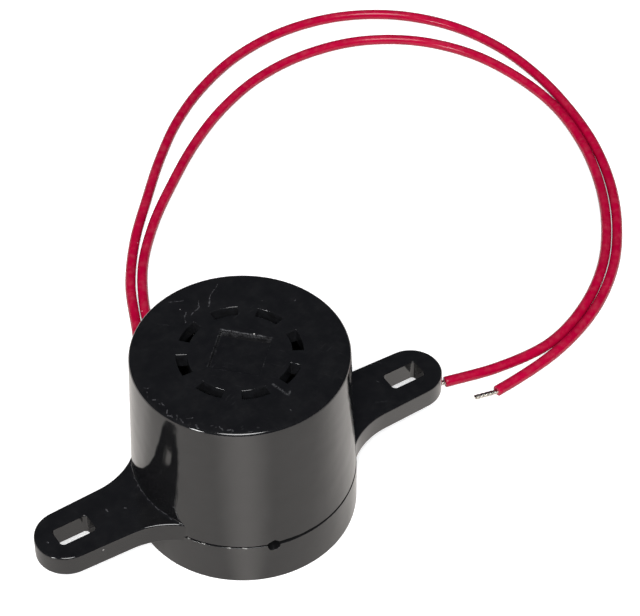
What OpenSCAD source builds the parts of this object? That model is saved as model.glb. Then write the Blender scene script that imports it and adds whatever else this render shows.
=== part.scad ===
// Piezo buzzer: ear-mounted housing, push-in base cover, sound disc, driver board and two flying leads.
// Lengths are millimetres. Z is up, the base stands on Z = 0 and the ears lie along X.

/* [Housing] */
// Outer diameter at the top face
top_d = 22.3; // [20:0.1:25]
// Outer diameter at the lower rim
rim_d = 23.4; // [21:0.1:26]
// Height of the whole buzzer
total_h = 21.7; // [20:0.1:28]
// Side wall around the board
wall_t = 1.5; // [1:0.1:2]
// Wall over the sound chamber
top_t = 1.6; // [1.2:0.1:2.4]
// Rounding of the top edge
top_edge_r = 0.4; // [0.2:0.05:0.8]
// Width of the shoulder that seats the sound disc
shoulder_w = 1.35; // [0.8:0.05:1.8]
// Height of the sound chamber
chamber_h = 4.6; // [3:0.1:5]
// Bevel on each side of the seam
seam_bevel = 0.15; // [0.05:0.05:0.3]

/* [Sound slots] */
// Number of slots in the ring
slot_count = 8; // [4:1:10]
// Diameter of the ring through the slot centres
slot_ring_d = 11.7; // [10:0.1:14]
// Width of one slot
slot_w = 1.1; // [0.6:0.1:1.6]
// Angle that one slot covers
slot_span = 26; // [15:1:32]
// Angle of the first slot from the ear axis
slot_turn = 29; // [0:1:45]

/* [Badge recess] */
// Side of the blank square recess
badge_side = 5.3; // [4:0.1:6]
// Depth of the recess
badge_depth = 0.5; // [0.2:0.05:0.9]
// Angle of the recess from the ear axis
badge_turn = 45; // [0:1:90]

/* [Ears] */
// Distance between the slot centres
ear_pitch = 40; // [38:0.5:46]
// Ear width at the slot centre
ear_w = 6.7; // [5:0.1:8]
// From the slot centre to the tip
ear_over = 4.2; // [3.6:0.1:5]
// Thickness of an ear
ear_t = 2.5; // [1.8:0.1:3]
// Angle of each ear side
ear_taper = 2; // [0:0.5:4]
// How far the underside of an ear lies below the seam
ear_drop = 0.8; // [0.3:0.05:1]
// Radius of the flare from ear to housing
flare_r = 8; // [5:0.5:9]
// How far the flare's round cuts into the wall
flare_bite = 0.3; // [0.1:0.05:0.5]
// Fillet between ear top and wall
ear_fillet_r = 0.3; // [0.1:0.05:0.5]
// Length of an ear slot
ear_slot_l = 4; // [3:0.1:5]
// Width of an ear slot
ear_slot_w = 2.3; // [2:0.1:3.2]
// Corner radius of an ear slot
ear_slot_r = 0.45; // [0.2:0.05:0.9]

/* [Base cover] */
// How far the cover stands out past the rim
cover_over = 0.05; // [0.02:0.01:0.2]
// Height of the cover up to the seam
cover_h = 5.3; // [4.5:0.1:7]
// Floor of the cover
cover_floor_t = 1.6; // [1:0.1:2.4]
// Height of the spigot above the seam
spigot_h = 2; // [1.6:0.1:2.6]
// Wall of the spigot
spigot_t = 1.2; // [0.8:0.1:1.4]
// Radial play of the spigot in the housing
spigot_fit = 0.05; // [0.02:0.01:0.15]
// Play between an ear root and the cover
seat_fit = 0.1; // [0.05:0.05:0.2]

/* [Lead gates] */
// Angle of the rear gates from the ear axis
gate_turn = 102; // [80:1:110]
// Angle between the two rear gates
gate_span = 12; // [10:1:20]
// Diameter of a rear gate
gate_d = 1.4; // [1.3:0.05:1.8]
// How far the centre of a gate lies below the seam
gate_sink = 0.15; // [0.1:0.05:0.3]
// Angle of the spare gate at the front
spare_turn = -106; // [-115:1:-80]
// Diameter of the spare gate
spare_d = 1.4; // [1:0.05:1.8]

/* [Sound disc] */
// Play between the brass plate and the housing bore
plate_fit = 0.25; // [0.1:0.05:0.4]
// Thickness of the brass plate
plate_t = 0.25; // [0.15:0.05:0.4]
// Bare brass around the ceramic
ceramic_edge = 2.9; // [2.6:0.05:3.4]
// Thickness of the ceramic
ceramic_t = 0.25; // [0.15:0.05:0.4]
// Bare ceramic around the electrodes
electrode_edge = 0.6; // [0.3:0.05:1]
// Thickness of the electrodes
electrode_t = 0.06; // [0.04:0.01:0.1]
// Width of the feedback tongue
tongue_w = 3; // [2:0.1:4]
// Gap around the feedback tongue
tongue_gap = 0.4; // [0.3:0.05:0.8]
// Width of the silicone bead
bond_w = 1.15; // [0.8:0.05:1.4]
// Height of the silicone bead
bond_h = 0.95; // [0.6:0.05:1.2]

/* [Circuit board] */
// Play between the board and the housing bore
board_fit = 0.5; // [0.3:0.05:0.8]
// Thickness of the board
board_t = 1.4; // [1:0.1:1.6]
// Number of ribs that hold the board down
rib_count = 4; // [3:1:6]
// Width of a rib
rib_w = 1.2; // [0.8:0.1:1.6]
// How far a rib covers the board's edge
rib_bite = 0.7; // [0.4:0.05:0.8]
// Diameter of a copper pad
pad_d = 1.1; // [0.9:0.05:1.2]
// Thickness of the copper
pad_t = 0.1; // [0.05:0.01:0.15]
// Height of a solder joint
joint_h = 0.6; // [0.4:0.05:0.8]
// Diameter of the component legs
leg_d = 0.5; // [0.4:0.05:0.6]

/* [Board parts] */
// Board radius that the parts are laid out for
plan_r = 9.65; // [9:0.05:10.5]
// Height over the board that the parts are laid out for
plan_h = 6.14; // [5.5:0.01:7]
// Diameter of the coil's flanges
coil_d = 5; // [4:0.1:5.2]
// Height of the coil
coil_h = 4.6; // [3.6:0.1:5]
// Thickness of one coil flange
coil_flange_t = 0.8; // [0.5:0.1:1]
// Diameter of the coil's middle
coil_mid_d = 2.4; // [1.6:0.1:3]
// How far the winding stays below the flange edge
coil_margin = 0.3; // [0.1:0.05:0.6]
// Distance between the coil's legs
coil_leg_pitch = 3; // [2.4:0.1:3.6]
// Diameter of the capacitor can
can_d = 4; // [3:0.1:4.4]
// Height of the capacitor with its bung
can_h = 5; // [4:0.1:5.4]
// Height of the capacitor's rubber bung
bung_h = 0.9; // [0.6:0.1:1.4]
// Distance between the capacitor's legs
can_leg_pitch = 2; // [1.5:0.1:2.4]
// Diameter of the transistor's round side
tran_d = 4.6; // [4:0.1:4.8]
// Depth of the transistor from the flat to the round side
tran_depth = 3.6; // [3:0.1:4]
// Height of the transistor's body
tran_h = 4.2; // [3.4:0.1:4.6]
// Height of the transistor's body over the board
tran_lift = 0.9; // [0.5:0.1:1.2]
// Distance between the transistor's legs
tran_leg_pitch = 1.27; // [1.2:0.01:1.4]
// Diameter of a resistor
res_d = 1.8; // [1.4:0.1:2]
// Length of a resistor
res_l = 3.4; // [3:0.1:3.8]
// Diameter of a diode
diode_d = 1.6; // [1.2:0.1:1.8]
// Length of a diode
diode_l = 3; // [2.6:0.1:3.6]
// Distance between neighbouring diodes
diode_pitch = 2.2; // [2:0.1:2.4]
// Distance between the two legs of a resistor or diode
axial_leg_pitch = 5; // [4.6:0.1:5.2]
// Diameter of the wires to the sound disc
disc_wire_d = 0.4; // [0.3:0.05:0.5]
// Diameter of a solder dab on the disc
dab_d = 1.2; // [0.8:0.1:1.6]
// Height of a solder dab on the disc
dab_h = 0.4; // [0.3:0.05:0.6]

/* [Leads] */
// Outer diameter of a lead
lead_d = 1.2; // [0.9:0.05:1.25]
// Diameter of the stranded core
core_d = 0.4; // [0.3:0.05:0.5]
// Length of a stripped end
tip_l = 2.6; // [1.5:0.1:4]
// Length that one step of the leads' lay stands for
lay_step = 1; // [0.9:0.05:1.1]

/* [Hidden] */
$fn = 64;
overrun_share = 0.25;
overrun = wall_t * overrun_share;
// Shares of the board's radius that place the parts on it
coil_shares = [0.27, 0.56];
can_shares = [-0.58, 0.197];
tran_shares = [0.622, 0.166];
diode_share = -0.37;
res_shares = [0.58, -0.373];
main_shares = [-0.228, 0.093];
feed_shares = [0.332, 0.0725];
ground_shares = [0, -0.829];
pad_share = 0.66;
sheath_share = 0.72;
joint_tip_share = 0.7;
dab_top_share = 0.6;
gate_in_share = 0.8;
neck_share = 0.9;
tongue_root_share = 0.24;

// Radii and levels of the shell
top_r = top_d / 2;
rim_r = rim_d / 2;
cover_r = rim_r + cover_over;
seam_z = cover_h;
bore_r = rim_r - wall_t;
chamber_r = bore_r - shoulder_w;
shoulder_z = total_h - top_t - chamber_h;
draft = (rim_r - top_r) / (total_h - seam_z - seam_bevel);
draft_len = sqrt(1 + draft * draft);
edge_z = total_h - top_edge_r;
edge_x = rim_r - draft * (edge_z - seam_z - seam_bevel) - top_edge_r * draft_len;

// Spigot and board
spigot_r = bore_r - spigot_fit;
spigot_in_r = spigot_r - spigot_t;
board_r = bore_r - board_fit;
board_z = seam_z + spigot_h;
board_top = board_z + board_t;
rib_in_r = board_r - rib_bite;

// Sound disc, from the shoulder down
plate_r = bore_r - plate_fit;
plate_z = shoulder_z - plate_t;
ceramic_z = plate_z - ceramic_t;
electrode_z = ceramic_z - electrode_t;
bond_z = plate_z - bond_h;
ceramic_r = plate_r - ceramic_edge;
electrode_r = ceramic_r - electrode_edge;
tongue_x = electrode_r * tongue_root_share;

// Ear levels and plan
ear_z = seam_z - ear_drop;
ear_top = ear_z + ear_t;
ear_x = ear_pitch / 2;
root_r = cover_r + seat_fit;
ear_wall_r = rim_r - draft * (ear_top - seam_z - seam_bevel);
tip_r = (ear_w / 2 - ear_over * tan(ear_taper)) * cos(ear_taper) / (1 - sin(ear_taper));
tip_x = ear_x + ear_over - tip_r;
side_n = [sin(ear_taper), cos(ear_taper)];
side_t = [-cos(ear_taper), sin(ear_taper)];
side_a = [tip_x, 0] + tip_r * side_n;
flare_a = side_a + flare_r * side_n;
flare_reach = rim_r + flare_r - flare_bite;
flare_s = -flare_a * side_t - sqrt((flare_a * side_t) * (flare_a * side_t) - flare_a * flare_a
    + flare_reach * flare_reach);
flare_c = flare_a + flare_s * side_t;
flare_b = flare_c - flare_r * side_n;
flare_e = flare_c * rim_r / flare_reach;
ear_points = [side_a, flare_b, flare_e, [0, 0], [flare_e[0], -flare_e[1]], [flare_b[0], -flare_b[1]],
    [side_a[0], -side_a[1]]];

// Board parts follow the board and the height under the disc
part_fit = board_r / plan_r;
part_rise = (electrode_z - board_top) / plan_h;
coil_r = coil_d * part_fit / 2;
coil_mid_r = coil_mid_d * part_fit / 2;
coil_gap = coil_margin * part_fit;
coil_top = coil_h * part_rise;
coil_rim = coil_flange_t * part_rise;
can_r = can_d * part_fit / 2;
can_top = can_h * part_rise;
bung_top = bung_h * part_rise;
tran_r = tran_d * part_fit / 2;
tran_flat = tran_depth * part_fit;
tran_top = tran_h * part_rise;
tran_foot = tran_lift * part_rise;
res_r = res_d * part_fit / 2;
res_len = res_l * part_fit;
diode_r = diode_d * part_fit / 2;
diode_len = diode_l * part_fit;
diode_dx = diode_pitch * part_fit;
coil_dx = coil_leg_pitch * part_fit / 2;
can_dy = can_leg_pitch * part_fit / 2;
tran_dy = tran_leg_pitch * part_fit;
axial_dy = axial_leg_pitch * part_fit / 2;
ring_r = pad_d * part_fit / 2;

// Legs on the board
coil_p = board_r * coil_shares;
can_p = board_r * can_shares;
tran_p = board_r * tran_shares;
main_p = board_r * main_shares;
feed_p = board_r * feed_shares;
ground_p = board_r * ground_shares;
pad_r = board_r * pad_share;
sheath_r = board_r * sheath_share;
gate_z = seam_z - gate_sink;
gate_a = gate_turn + gate_span / 2;
gate_b = gate_turn - gate_span / 2;
diode_p = [for (i = [0 : 3]) [(i - 3 / 2) * diode_dx, board_r * diode_share]];
res_p = [for (s = [-1, 1]) [s * board_r * res_shares[0], board_r * res_shares[1]]];
coil_leg_p = [for (s = [-1, 1]) coil_p + [s * coil_dx, 0]];
can_leg_p = [for (s = [-1, 1]) can_p + [0, s * can_dy]];
tran_leg_p = [for (s = [-1, 0, 1]) tran_p + [0, s * tran_dy]];
diode_leg_p = [for (p = diode_p, s = [-1, 1]) p + [0, s * axial_dy]];
res_leg_p = [for (p = res_p, s = [-1, 1]) p + [0, s * axial_dy]];
leg_p = concat(coil_leg_p, can_leg_p, tran_leg_p, diode_leg_p, res_leg_p);
wire_p = [main_p, feed_p, ground_p];
core_p = [for (a = [gate_a, gate_b]) pad_r * [cos(a), sin(a)]];
wire_top = [electrode_z, electrode_z, plate_z];

// Lay of the two leads on the table, from the gate to the stripped end
table_z = lead_d / 2;
fall_a = [[-3.7, 15, 0.72], [-2.5, 18.2, 0.34], [-0.16, 21.74, 0.04]];
fall_b = [[-1.3, 16.2, 0.7], [0.1, 19.7, 0.32], [2.4, 23.49, 0.04]];
lay_a = [[2.06, 26.74], [4.94, 33.33], [8.89, 39.33], [13.57, 44.78], [18.4, 50.07], [23.66, 54.92],
    [29.67, 58.85], [36.43, 61.6], [43.66, 62.49], [50.77, 61.2], [56.98, 57.67], [61.67, 52.25],
    [64.4, 45.63], [65.34, 38.56], [64.98, 31.42], [63.65, 24.42], [61.08, 17.61], [57.46, 11.48],
    [52.77, 6.01], [46.8, 1.69], [40.24, -0.99], [33.28, -2.27], [30.67, -2.52]];
lay_b = [[4.33, 28.88], [7.64, 35.21], [12.21, 40.72], [17.53, 45.58], [23.18, 50.11], [29.32, 53.89],
    [36.05, 56.48], [43.28, 57.21], [50.28, 55.81], [56.29, 52.09], [60.72, 46.36], [63.05, 39.54],
    [63.73, 32.5], [62.59, 25.43], [60.21, 18.82], [56.72, 12.64], [52.13, 7.15], [46.37, 2.9],
    [39.82, 0.31], [32.65, 0.35], [26.83, 1.59]];
lead_sides = 8;
lead_path_a = lead_path(gate_a, fall_a, lay_a);
lead_path_b = lead_path(gate_b, fall_b, lay_b);

function at_gate(a, r) = [r * cos(a), r * sin(a), gate_z];
function lead_path(a, fall, lay) = concat(
    [at_gate(a, sheath_r), at_gate(a, cover_r + lead_d)],
    [for (p = fall) [p[0] * lay_step, p[1] * lay_step, table_z + p[2] * (gate_z - table_z)]],
    [for (p = lay) [p[0] * lay_step, p[1] * lay_step, table_z]]);
function unit(v) = v / norm(v);
function heading(path, i) = unit(path[min(i + 1, len(path) - 1)] - path[max(i - 1, 0)]);
function ring_at(p, t, r) = let (s = unit(cross(t, [0, 0, 1])), u = cross(s, t))
    [for (k = [0 : lead_sides - 1]) p + r * (cos(k * 360 / lead_sides) * s + sin(k * 360 / lead_sides) * u)];
function tube_points(path, r) = [for (i = [0 : len(path) - 1]) each ring_at(path[i], heading(path, i), r)];
function tube_faces(n) = concat(
    [[for (k = [0 : lead_sides - 1]) k]],
    [for (i = [0 : n - 2], k = [0 : lead_sides - 1]) let (m = (k + 1) % lead_sides)
        [i * lead_sides + k, (i + 1) * lead_sides + k, (i + 1) * lead_sides + m, i * lead_sides + m]],
    [[for (k = [lead_sides - 1 : -1 : 0]) (n - 1) * lead_sides + k]]);

// Plan of the ear on the +X side
module ear_plan() {
    difference() {
        union() {
            translate([tip_x, 0])
                circle(tip_r);
            polygon(ear_points);
        }
        for (s = [-1, 1])
            translate([flare_c[0], s * flare_c[1]])
                circle(flare_r);
    }
}

// Rounded-corner slot of an ear
module ear_slot_plan() {
    square([ear_slot_l - 2 * ear_slot_r, ear_slot_w], center = true);
    square([ear_slot_l, ear_slot_w - 2 * ear_slot_r], center = true);
    for (sx = [-1, 1], sy = [-1, 1])
        translate([sx * (ear_slot_l / 2 - ear_slot_r), sy * (ear_slot_w / 2 - ear_slot_r)])
            circle(ear_slot_r);
}

// Half section of the outer body
module body_section() {
    polygon([[0, seam_z], [rim_r - seam_bevel, seam_z], [rim_r, seam_z + seam_bevel],
        [edge_x + top_edge_r / draft_len, edge_z + top_edge_r * draft / draft_len],
        [edge_x, total_h], [0, total_h]]);
    translate([edge_x, edge_z])
        circle(top_edge_r);
}

// Half section of the fillet where an ear meets the wall
module fillet_section() {
    difference() {
        translate([ear_wall_r - ear_fillet_r, ear_top])
            square([2 * ear_fillet_r, ear_fillet_r]);
        translate([ear_wall_r + ear_fillet_r, ear_top + ear_fillet_r])
            circle(ear_fillet_r);
    }
}

// One radial gate across the seam
module gate_cut(turn, d) {
    rotate([0, 0, turn])
        translate([bore_r * gate_in_share, 0, gate_z])
            rotate([0, 90, 0])
                cylinder(d = d, h = cover_r);
}

// Neck over a rear gate of the cover, through which a lead drops in
module gate_neck(turn) {
    rotate([0, 0, turn])
        translate([bore_r * gate_in_share, -gate_d * neck_share / 2, gate_z])
            cube([cover_r, gate_d * neck_share, gate_sink + spigot_h + overrun]);
}

module gate_cuts() {
    gate_cut(gate_a, gate_d);
    gate_cut(gate_b, gate_d);
    gate_cut(spare_turn, spare_d);
}

module ears() {
    for (turn = [0, 180])
        rotate([0, 0, turn]) {
            translate([0, 0, ear_z])
                linear_extrude(ear_t)
                    ear_plan();
            intersection() {
                rotate_extrude()
                    fillet_section();
                translate([0, 0, ear_top])
                    linear_extrude(ear_fillet_r)
                        ear_plan();
            }
        }
}

module sound_slots() {
    for (i = [0 : slot_count - 1])
        rotate([0, 0, slot_turn - slot_span / 2 + i * 360 / slot_count])
            rotate_extrude(angle = slot_span)
                translate([slot_ring_d / 2 - slot_w / 2, total_h - top_t - overrun])
                    square([slot_w, top_t + 2 * overrun]);
}

module housing() {
    color([0.03, 0.03, 0.035]) {
        difference() {
            union() {
                rotate_extrude()
                    body_section();
                ears();
            }
            translate([0, 0, ear_z - overrun])
                cylinder(r = root_r, h = ear_drop + overrun);
            cylinder(r = bore_r, h = shoulder_z);
            translate([0, 0, shoulder_z - overrun])
                cylinder(r = chamber_r, h = chamber_h + overrun);
            sound_slots();
            translate([0, 0, total_h - badge_depth])
                rotate([0, 0, badge_turn])
                    translate([-badge_side / 2, -badge_side / 2, 0])
                        cube([badge_side, badge_side, badge_depth + overrun]);
            for (s = [-1, 1])
                translate([s * ear_x, 0, ear_z - overrun])
                    linear_extrude(ear_t + 2 * overrun)
                        ear_slot_plan();
            gate_cuts();
        }
        intersection() {
            for (i = [0 : rib_count - 1])
                rotate([0, 0, (i + 1 / 2) * 360 / rib_count])
                    translate([rib_in_r, -rib_w / 2, board_top])
                        cube([bore_r - rib_in_r + wall_t / 2, rib_w, bond_z - board_top]);
            cylinder(r = bore_r + wall_t / 2, h = total_h);
        }
    }
}

module base_cover() {
    color([0.035, 0.035, 0.04])
        difference() {
            rotate_extrude()
                polygon([[0, 0], [cover_r, 0], [cover_r, seam_z - seam_bevel], [cover_r - seam_bevel, seam_z],
                    [spigot_r, seam_z], [spigot_r, board_z], [spigot_in_r, board_z],
                    [spigot_in_r, cover_floor_t], [0, cover_floor_t]]);
            gate_cuts();
            gate_neck(gate_a);
            gate_neck(gate_b);
        }
}

module diaphragm_plate() {
    color([0.78, 0.6, 0.25])
        translate([0, 0, plate_z])
            cylinder(r = plate_r, h = plate_t);
}

module piezo_ceramic() {
    color([0.86, 0.82, 0.7])
        translate([0, 0, ceramic_z])
            cylinder(r = ceramic_r, h = ceramic_t);
}

module main_electrode() {
    color([0.75, 0.75, 0.76])
        translate([0, 0, electrode_z])
            linear_extrude(electrode_t)
                difference() {
                    circle(electrode_r);
                    translate([tongue_x, -tongue_w / 2])
                        square([plate_r, tongue_w]);
                }
}

module feedback_electrode() {
    color([0.78, 0.78, 0.79])
        translate([0, 0, electrode_z])
            linear_extrude(electrode_t)
                intersection() {
                    circle(electrode_r);
                    translate([tongue_x + tongue_gap, tongue_gap - tongue_w / 2])
                        square([plate_r, tongue_w - 2 * tongue_gap]);
                }
}

module bond_ring() {
    color([0.8, 0.8, 0.76])
        translate([0, 0, bond_z])
            difference() {
                cylinder(r = bore_r, h = bond_h);
                translate([0, 0, -overrun])
                    cylinder(r = bore_r - bond_w, h = bond_h + 2 * overrun);
            }
}

module circuit_board() {
    color([0.55, 0.4, 0.2])
        difference() {
            translate([0, 0, board_z])
                cylinder(r = board_r, h = board_t);
            for (p = leg_p)
                translate([p[0], p[1], board_z - overrun])
                    cylinder(d = leg_d, h = board_t + 2 * overrun);
            for (p = wire_p)
                translate([p[0], p[1], board_z - overrun])
                    cylinder(d = disc_wire_d, h = board_t + 2 * overrun);
            for (p = core_p)
                translate([p[0], p[1], board_z - overrun])
                    cylinder(d = core_d, h = board_t + 2 * overrun);
        }
}

// Rings of copper under the board, one round each leg
module pad_rings(places, d) {
    for (p = places)
        translate([p[0], p[1], board_z - pad_t])
            difference() {
                cylinder(r = ring_r, h = pad_t);
                translate([0, 0, -overrun])
                    cylinder(d = d, h = pad_t + 2 * overrun);
            }
}

module copper_pads() {
    color([0.72, 0.4, 0.2]) {
        pad_rings(leg_p, leg_d);
        pad_rings(wire_p, disc_wire_d);
        pad_rings(core_p, core_d);
    }
}

module coil_core() {
    color([0.2, 0.2, 0.21])
        translate([coil_p[0], coil_p[1], board_top]) {
            cylinder(r = coil_r, h = coil_rim);
            cylinder(r = coil_mid_r, h = coil_top);
            translate([0, 0, coil_top - coil_rim])
                cylinder(r = coil_r, h = coil_rim);
        }
}

module coil_winding() {
    color([0.72, 0.32, 0.12]) {
        translate([coil_p[0], coil_p[1], board_top + coil_rim])
            difference() {
                cylinder(r = coil_r - coil_gap, h = coil_top - 2 * coil_rim);
                translate([0, 0, -overrun])
                    cylinder(r = coil_mid_r, h = coil_top);
            }
        for (p = coil_leg_p)
            translate([p[0], p[1], board_z - joint_h - pad_t])
                cylinder(d = leg_d, h = board_t + joint_h + pad_t);
    }
}

module capacitor_can() {
    color([0.1, 0.12, 0.3])
        translate([can_p[0], can_p[1], board_top + bung_top])
            cylinder(r = can_r, h = can_top - bung_top);
}

module capacitor_bung() {
    color([0.08, 0.08, 0.08]) {
        translate([can_p[0], can_p[1], board_top])
            cylinder(r = can_r, h = bung_top);
        for (p = can_leg_p)
            translate([p[0], p[1], board_z - joint_h - pad_t])
                cylinder(d = leg_d, h = board_t + joint_h + pad_t);
    }
}

module transistor_body() {
    color([0.06, 0.06, 0.06])
        translate([tran_p[0], tran_p[1], board_top + tran_foot])
            linear_extrude(tran_top)
                intersection() {
                    circle(tran_r);
                    translate([-tran_r, -tran_r])
                        square([tran_flat, 2 * tran_r]);
                }
}

module transistor_legs() {
    color([0.7, 0.7, 0.7])
        for (p = tran_leg_p)
            translate([p[0], p[1], board_z - joint_h - pad_t])
                cylinder(d = leg_d, h = board_t + joint_h + pad_t + tran_foot);
}

// Bodies that lie on the board along Y
module axial_bodies(places, r, l) {
    for (p = places)
        translate([p[0], p[1] - l / 2, board_top + r])
            rotate([-90, 0, 0])
                cylinder(r = r, h = l);
}

// Bent legs of a part that lies on the board
module axial_legs_of(places, r, l) {
    for (p = places, s = [0, 180])
        translate([p[0], p[1], 0])
            rotate([0, 0, s]) {
                translate([0, l / 2, board_top + r])
                    rotate([-90, 0, 0])
                        cylinder(d = leg_d, h = axial_dy - l / 2);
                translate([0, axial_dy, board_top + r])
                    sphere(d = leg_d);
                translate([0, axial_dy, board_z - joint_h - pad_t])
                    cylinder(d = leg_d, h = board_t + joint_h + pad_t + r);
            }
}

module resistor_bodies() {
    color([0.75, 0.66, 0.48])
        axial_bodies(res_p, res_r, res_len);
}

module resistor_legs() {
    color([0.7, 0.7, 0.7])
        axial_legs_of(res_p, res_r, res_len);
}

module diode_bodies() {
    color([0.55, 0.25, 0.12])
        axial_bodies(diode_p, diode_r, diode_len);
}

module diode_legs() {
    color([0.7, 0.7, 0.7])
        axial_legs_of(diode_p, diode_r, diode_len);
}

module disc_wires() {
    color([0.75, 0.73, 0.7])
        for (i = [0 : len(wire_p) - 1])
            translate([wire_p[i][0], wire_p[i][1], board_z - joint_h - pad_t])
                cylinder(d = disc_wire_d, h = wire_top[i] - dab_h - board_z + joint_h + pad_t);
}

module disc_solder() {
    color([0.66, 0.66, 0.68])
        for (i = [0 : len(wire_p) - 1])
            translate([wire_p[i][0], wire_p[i][1], wire_top[i] - dab_h])
                cylinder(d1 = dab_d * dab_top_share, d2 = dab_d, h = dab_h);
}

// Solder cones under the board, each round its leg
module joints(places, d) {
    for (p = places)
        translate([p[0], p[1], board_z - pad_t - joint_h])
            difference() {
                cylinder(r1 = ring_r * joint_tip_share, r2 = ring_r, h = joint_h);
                translate([0, 0, -overrun])
                    cylinder(d = d, h = joint_h + 2 * overrun);
            }
}

module board_solder() {
    color([0.66, 0.66, 0.68]) {
        joints(leg_p, leg_d);
        joints(wire_p, disc_wire_d);
        joints(core_p, core_d);
    }
}

module lead_cores() {
    color([0.75, 0.73, 0.7])
        for (a = [gate_a, gate_b])
            rotate([0, 0, a]) {
                translate([pad_r, 0, gate_z])
                    rotate([0, 90, 0])
                        cylinder(d = core_d, h = sheath_r - pad_r);
                translate([pad_r, 0, gate_z])
                    sphere(d = core_d);
                translate([pad_r, 0, gate_z])
                    cylinder(d = core_d, h = board_top - gate_z);
            }
}

// Insulated lead from the board to the stripped end
module lead(path) {
    color([0.7, 0.05, 0.15])
        polyhedron(tube_points(path, lead_d / 2), tube_faces(len(path)));
}

// Stripped end beyond the last point of a lead
module lead_tip(path) {
    last = path[len(path) - 1];
    aim = heading(path, len(path) - 1);
    color([0.72, 0.7, 0.66])
        translate(last)
            rotate([0, 90, atan2(aim[1], aim[0])])
                cylinder(d = core_d, h = tip_l);
}

module lead_a() {
    lead(lead_path_a);
}

module lead_b() {
    lead(lead_path_b);
}

module lead_a_tip() {
    lead_tip(lead_path_a);
}

module lead_b_tip() {
    lead_tip(lead_path_b);
}

housing();
base_cover();
diaphragm_plate();
piezo_ceramic();
main_electrode();
feedback_electrode();
bond_ring();
circuit_board();
copper_pads();
coil_core();
coil_winding();
capacitor_can();
capacitor_bung();
transistor_body();
transistor_legs();
resistor_bodies();
resistor_legs();
diode_bodies();
diode_legs();
disc_wires();
disc_solder();
board_solder();
lead_cores();
lead_a();
lead_b();
lead_a_tip();
lead_b_tip();
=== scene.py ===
import math

import bmesh
import bpy
import numpy as np
from mathutils import Matrix, Vector


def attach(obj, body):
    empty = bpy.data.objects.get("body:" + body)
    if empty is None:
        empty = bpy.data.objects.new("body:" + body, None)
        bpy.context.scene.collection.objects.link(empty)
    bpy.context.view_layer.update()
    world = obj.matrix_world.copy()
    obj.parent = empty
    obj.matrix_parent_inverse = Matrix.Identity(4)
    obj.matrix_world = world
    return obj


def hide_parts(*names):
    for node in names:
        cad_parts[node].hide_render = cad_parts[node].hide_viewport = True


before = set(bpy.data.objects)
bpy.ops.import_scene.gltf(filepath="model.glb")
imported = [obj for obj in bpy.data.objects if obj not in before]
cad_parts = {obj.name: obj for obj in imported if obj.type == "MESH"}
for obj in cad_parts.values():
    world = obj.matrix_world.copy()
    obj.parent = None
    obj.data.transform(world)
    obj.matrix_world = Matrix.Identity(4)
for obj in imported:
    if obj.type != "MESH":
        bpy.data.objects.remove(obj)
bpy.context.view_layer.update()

mm = 0.001
rng = np.random.default_rng(7)
scene = bpy.context.scene

# Camera, from the fit of the rim, seam, base and ear slots in the photo
cameraSet = {
    "azimuth": -32.0361,
    "elevation": 45.2549,
    "roll": -0.3816,
    "distance": 300.6734,  # mm from the target
    "target": (21.4817, 19.1745, 0.0),
    "lens": 149.6735,
    "sensor": 36.0,
}


# Camera: set back from its target by azimuth and elevation, with its picture turned by the roll
def makeCamera(s):
    turn, lift, roll = (math.radians(s[k]) for k in ("azimuth", "elevation", "roll"))
    back = Vector((math.sin(turn) * math.cos(lift), -math.cos(turn) * math.cos(lift), math.sin(lift)))
    level = (-back).cross(Vector((0, 0, 1))).normalized()
    rise = level.cross(-back)
    right = math.cos(roll) * level + math.sin(roll) * rise
    up = -math.sin(roll) * level + math.cos(roll) * rise
    eye = (Vector(s["target"]) + back * s["distance"]) * mm
    data = bpy.data.cameras.new("photoCamera")
    data.lens = s["lens"]
    data.sensor_width = s["sensor"]
    data.clip_start = 0.01
    data.clip_end = 20.0
    camera = bpy.data.objects.new("photoCamera", data)
    camera.matrix_world = Matrix(
        (
            (right.x, up.x, back.x, eye.x),
            (right.y, up.y, back.y, eye.y),
            (right.z, up.z, back.z, eye.z),
            (0, 0, 0, 1),
        )
    )
    scene.collection.objects.link(camera)
    scene.camera = camera


makeCamera(cameraSet)
print("stage: camera")


# Shader helpers: each returns the socket that carries the result
def calc(tree, operation, *values, clamp=False):
    node = tree.nodes.new("ShaderNodeMath")
    node.operation = operation
    node.use_clamp = clamp
    for i, value in enumerate(values):
        if isinstance(value, (int, float)):
            node.inputs[i].default_value = value
        else:
            tree.links.new(value, node.inputs[i])
    return node.outputs[0]


def vectorCalc(tree, operation, *values):
    node = tree.nodes.new("ShaderNodeVectorMath")
    node.operation = operation
    for i, value in enumerate(values):
        if isinstance(value, (tuple, list, Vector)):
            node.inputs[i].default_value = value
        elif isinstance(value, (int, float)):
            node.inputs["Scale"].default_value = value
        else:
            tree.links.new(value, node.inputs[i])
    return node.outputs["Value" if operation in ("DOT_PRODUCT", "DISTANCE", "LENGTH") else "Vector"]


def ramp(tree, value, low, high, first=0.0, last=1.0):
    node = tree.nodes.new("ShaderNodeMapRange")
    node.interpolation_type = "SMOOTHSTEP"
    tree.links.new(value, node.inputs["Value"])
    for name, level in (("From Min", low), ("From Max", high), ("To Min", first), ("To Max", last)):
        if isinstance(level, (int, float)):
            node.inputs[name].default_value = level
        else:
            tree.links.new(level, node.inputs[name])
    return node.outputs["Result"]


def noise(tree, position, scale, detail=3.0, rough=0.5):
    node = tree.nodes.new("ShaderNodeTexNoise")
    node.inputs["Scale"].default_value = scale
    node.inputs["Detail"].default_value = detail
    node.inputs["Roughness"].default_value = rough
    tree.links.new(position, node.inputs["Vector"])
    return node.outputs["Fac"]


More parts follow.
